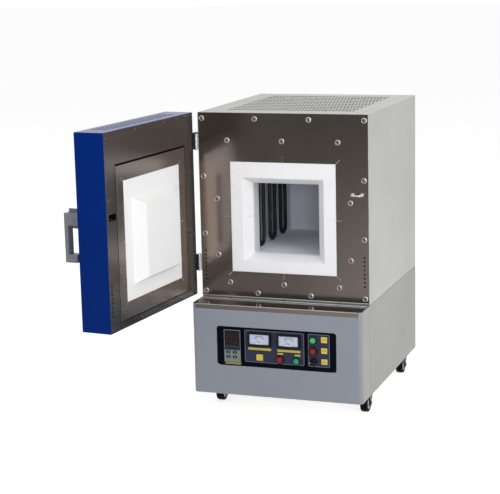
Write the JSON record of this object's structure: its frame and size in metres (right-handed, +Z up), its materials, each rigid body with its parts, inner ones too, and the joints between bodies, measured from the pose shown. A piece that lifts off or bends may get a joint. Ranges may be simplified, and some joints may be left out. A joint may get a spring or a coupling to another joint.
{
  "type": "high temperature box furnace",
  "caption": "Box furnace with an insulated chamber, hanging heating elements and a side-hung plug door, on a wheeled base that holds the control panel.",
  "frame": {"origin": "on the floor under the middle of the whole object's box, door open", "axes": "+X to the furnace's right as seen from its front, +Y from the front to the back, +Z up"},
  "size_m": [0.6652, 1.028, 0.826],
  "materials": {
    "warm_grey_paint": "satin",
    "lilac_grey_paint": "satin",
    "blue_paint": "gloss",
    "stainless": "satin",
    "zinc": "satin",
    "ceramic_fibre": "matte",
    "chamber_board": "matte",
    "heating_element": "matte",
    "black_panel": "gloss",
    "black_plastic": "matte",
    "grey_key": "matte",
    "red_plastic": "gloss",
    "green_plastic": "gloss",
    "grey_coated_steel": "satin",
    "black_steel": "satin",
    "wheel_black": "matte",
    "transformer": "matte",
    "aluminium": "satin"
  },
  "bodies": {
    "furnace_body": {"base_chassis": "zinc", "base_front_panel": "lilac_grey_paint", "base_casing": "warm_grey_paint", "ledge_plate": "stainless", "sill_strip": "stainless", "transformer": "transformer", "power_regulator": "aluminium", "side_panel_right": "warm_grey_paint", "side_panel_left": "warm_grey_paint", "rear_panel": "warm_grey_paint", "top_vent_panel": "warm_grey_paint", "front_plate": "stainless", "latch_keeper": "zinc", "hinge_leaf_upper": "zinc", "hinge_leaf_lower": "zinc", "fibre_collar": "ceramic_fibre", "chamber_hearth": "chamber_board", "chamber_roof": "chamber_board", "chamber_wall_right": "chamber_board", "chamber_wall_left": "chamber_board", "chamber_rear": "chamber_board", "heating_element_left_1": "heating_element", "heating_element_left_2": "heating_element", "heating_element_left_3": "heating_element", "heating_element_right_1": "heating_element", "heating_element_right_2": "heating_element", "heating_element_right_3": "heating_element", "thermocouple": "zinc", "control_window": "black_panel", "controller": "black_plastic", "ammeter": "black_plastic", "voltmeter": "black_plastic"},
    "door": {"door_shell": "blue_paint", "door_inner_plate": "stainless", "plug_plate": "stainless", "door_plug": "ceramic_fibre", "door_insulation": "ceramic_fibre", "door_hinge_leaf_upper": "zinc", "door_hinge_leaf_lower": "zinc", "latch_bracket": "grey_coated_steel"},
    "latch": {"latch_handle": "grey_coated_steel"},
    "key_1": {"controller_key_1": "grey_key"},
    "key_2": {"controller_key_2": "grey_key"},
    "key_3": {"controller_key_3": "grey_key"},
    "key_4": {"controller_key_4": "grey_key"},
    "ammeter_pointer": {"ammeter_needle": "black_plastic"},
    "voltmeter_pointer": {"voltmeter_needle": "black_plastic"},
    "large_red_push": {"large_red_button": "red_plastic"},
    "large_green_push": {"large_green_button": "green_plastic"},
    "small_green_push": {"small_green_button": "green_plastic"},
    "small_red_push": {"small_red_button": "red_plastic"},
    "knob": {"selector_knob": "black_plastic"},
    "fork_front_left": {"caster_fork_front_left": "black_steel"},
    "wheel_front_left": {"caster_wheel_front_left": "wheel_black"},
    "fork_front_right": {"caster_fork_front_right": "black_steel"},
    "wheel_front_right": {"caster_wheel_front_right": "wheel_black"},
    "fork_back_left": {"caster_fork_back_left": "black_steel"},
    "wheel_back_left": {"caster_wheel_back_left": "wheel_black"},
    "fork_back_right": {"caster_fork_back_right": "black_steel"},
    "wheel_back_right": {"caster_wheel_back_right": "wheel_black"}
  },
  "joints": [
    {"name": "door_swing", "type": "hinge", "parent": "furnace_body", "child": "door", "pos_m": [-0.15389, -0.02998, 0.5785], "axis": [0, 0, 1], "range_deg": [-80, 95.1]},
    {"name": "latch_turn", "type": "hinge", "parent": "door", "child": "latch", "pos_m": [-0.30794, -0.47706, 0.601], "axis": [0.0889, 0.996, 0], "range_deg": [-6, 20]},
    {"name": "key_1_press", "type": "slide", "parent": "furnace_body", "child": "key_1", "axis": [0, 1, 0], "range_m": [0, 0.001], "stiffness_N_per_m": 1500},
    {"name": "key_2_press", "type": "slide", "parent": "furnace_body", "child": "key_2", "axis": [0, 1, 0], "range_m": [0, 0.001], "stiffness_N_per_m": 1500},
    {"name": "key_3_press", "type": "slide", "parent": "furnace_body", "child": "key_3", "axis": [0, 1, 0], "range_m": [0, 0.001], "stiffness_N_per_m": 1500},
    {"name": "key_4_press", "type": "slide", "parent": "furnace_body", "child": "key_4", "axis": [0, 1, 0], "range_m": [0, 0.001], "stiffness_N_per_m": 1500},
    {"name": "ammeter_needle_turn", "type": "hinge", "parent": "furnace_body", "child": "ammeter_pointer", "pos_m": [0.04711, -0.10528, 0.2148], "axis": [0, 1, 0], "range_deg": [0, 90], "stiffness_Nm_per_rad": 0.0005},
    {"name": "voltmeter_needle_turn", "type": "hinge", "parent": "furnace_body", "child": "voltmeter_pointer", "pos_m": [0.12991, -0.10528, 0.2148], "axis": [0, 1, 0], "range_deg": [0, 90], "stiffness_Nm_per_rad": 0.0005},
    {"name": "large_red_button_press", "type": "slide", "parent": "furnace_body", "child": "large_red_push", "axis": [0, 1, 0], "range_m": [0, 0.003], "stiffness_N_per_m": 1000},
    {"name": "large_green_button_press", "type": "slide", "parent": "furnace_body", "child": "large_green_push", "axis": [0, 1, 0], "range_m": [0, 0.003], "stiffness_N_per_m": 1000},
    {"name": "small_green_button_press", "type": "slide", "parent": "furnace_body", "child": "small_green_push", "axis": [0, 1, 0], "range_m": [0, 0.003], "stiffness_N_per_m": 1000},
    {"name": "small_red_button_press", "type": "slide", "parent": "furnace_body", "child": "small_red_push", "axis": [0, 1, 0], "range_m": [0, 0.003], "stiffness_N_per_m": 1000},
    {"name": "selector_knob_turn", "type": "hinge", "parent": "furnace_body", "child": "knob", "pos_m": [0.19901, -0.11798, 0.1716], "axis": [0, 1, 0], "range_deg": [0, 90]},
    {"name": "caster_swivel_front_left", "type": "hinge", "parent": "furnace_body", "child": "fork_front_left", "pos_m": [-0.11839, 0.04702, 0.0565], "axis": [0, 0, 1], "continuous": true},
    {"name": "caster_roll_front_left", "type": "hinge", "parent": "fork_front_left", "child": "wheel_front_left", "pos_m": [-0.11839, 0.02502, 0.025], "axis": [1, 0, 0], "continuous": true},
    {"name": "caster_swivel_front_right", "type": "hinge", "parent": "furnace_body", "child": "fork_front_right", "pos_m": [0.30361, 0.04702, 0.0565], "axis": [0, 0, 1], "continuous": true},
    {"name": "caster_roll_front_right", "type": "hinge", "parent": "fork_front_right", "child": "wheel_front_right", "pos_m": [0.30361, 0.02502, 0.025], "axis": [1, 0, 0], "continuous": true},
    {"name": "caster_swivel_back_left", "type": "hinge", "parent": "furnace_body", "child": "fork_back_left", "pos_m": [-0.11839, 0.44602, 0.0565], "axis": [0, 0, 1], "continuous": true},
    {"name": "caster_roll_back_left", "type": "hinge", "parent": "fork_back_left", "child": "wheel_back_left", "pos_m": [-0.11839, 0.42402, 0.025], "axis": [1, 0, 0], "continuous": true},
    {"name": "caster_swivel_back_right", "type": "hinge", "parent": "furnace_body", "child": "fork_back_right", "pos_m": [0.30361, 0.44602, 0.0565], "axis": [0, 0, 1], "continuous": true},
    {"name": "caster_roll_back_right", "type": "hinge", "parent": "fork_back_right", "child": "wheel_back_right", "pos_m": [0.30361, 0.42402, 0.025], "axis": [1, 0, 0], "continuous": true}
  ]
}
